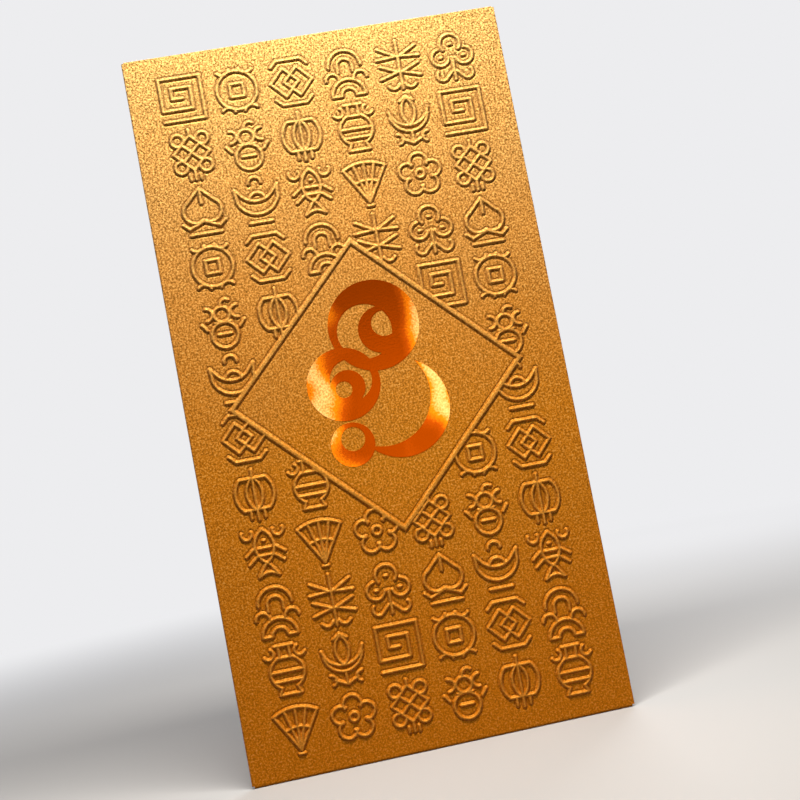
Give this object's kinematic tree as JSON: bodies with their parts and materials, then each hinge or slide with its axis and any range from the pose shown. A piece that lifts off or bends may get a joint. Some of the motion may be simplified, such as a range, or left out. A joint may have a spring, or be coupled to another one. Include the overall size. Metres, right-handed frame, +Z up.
{
  "type": "gift money packet",
  "caption": "Long flat card packet for gift money: embossed metallic face with a diamond frame and a foil cloud mark, glued side seam, and a top flap that folds over the back.",
  "frame": {"origin": "middle of the packet's footprint at the bottom fold", "axes": "+X across the face to the viewer's right, -Y out of the embossed face, +Z up from the bottom fold to the top fold"},
  "size_m": [0.09, 0.0016, 0.17],
  "materials": {
    "card_gold_face": "satin",
    "card_gold_back": "satin",
    "card_reverse": "matte",
    "glue": "matte",
    "gum": "gloss",
    "foil": "mirror"
  },
  "bodies": {
    "packet": {"front_panel": "card_gold_face", "left_side_fold": "card_gold_face", "right_side_fold": "card_gold_face", "back_panel": "card_gold_back", "side_seam_tab": "card_reverse", "side_seam_glue": "glue", "bottom_fold": "card_gold_face", "bottom_flap": "card_gold_back", "bottom_flap_glue": "glue", "top_fold": "card_gold_face", "foil_emblem": "foil"},
    "closing_flap": {"top_flap": "card_gold_back", "flap_gum_strip": "gum"}
  },
  "joints": [
    {"name": "flap_score", "type": "hinge", "parent": "packet", "child": "closing_flap", "pos_m": [0, 0.00068, 0.16987], "axis": [1, 0, 0], "range_deg": [0, 180]}
  ]
}
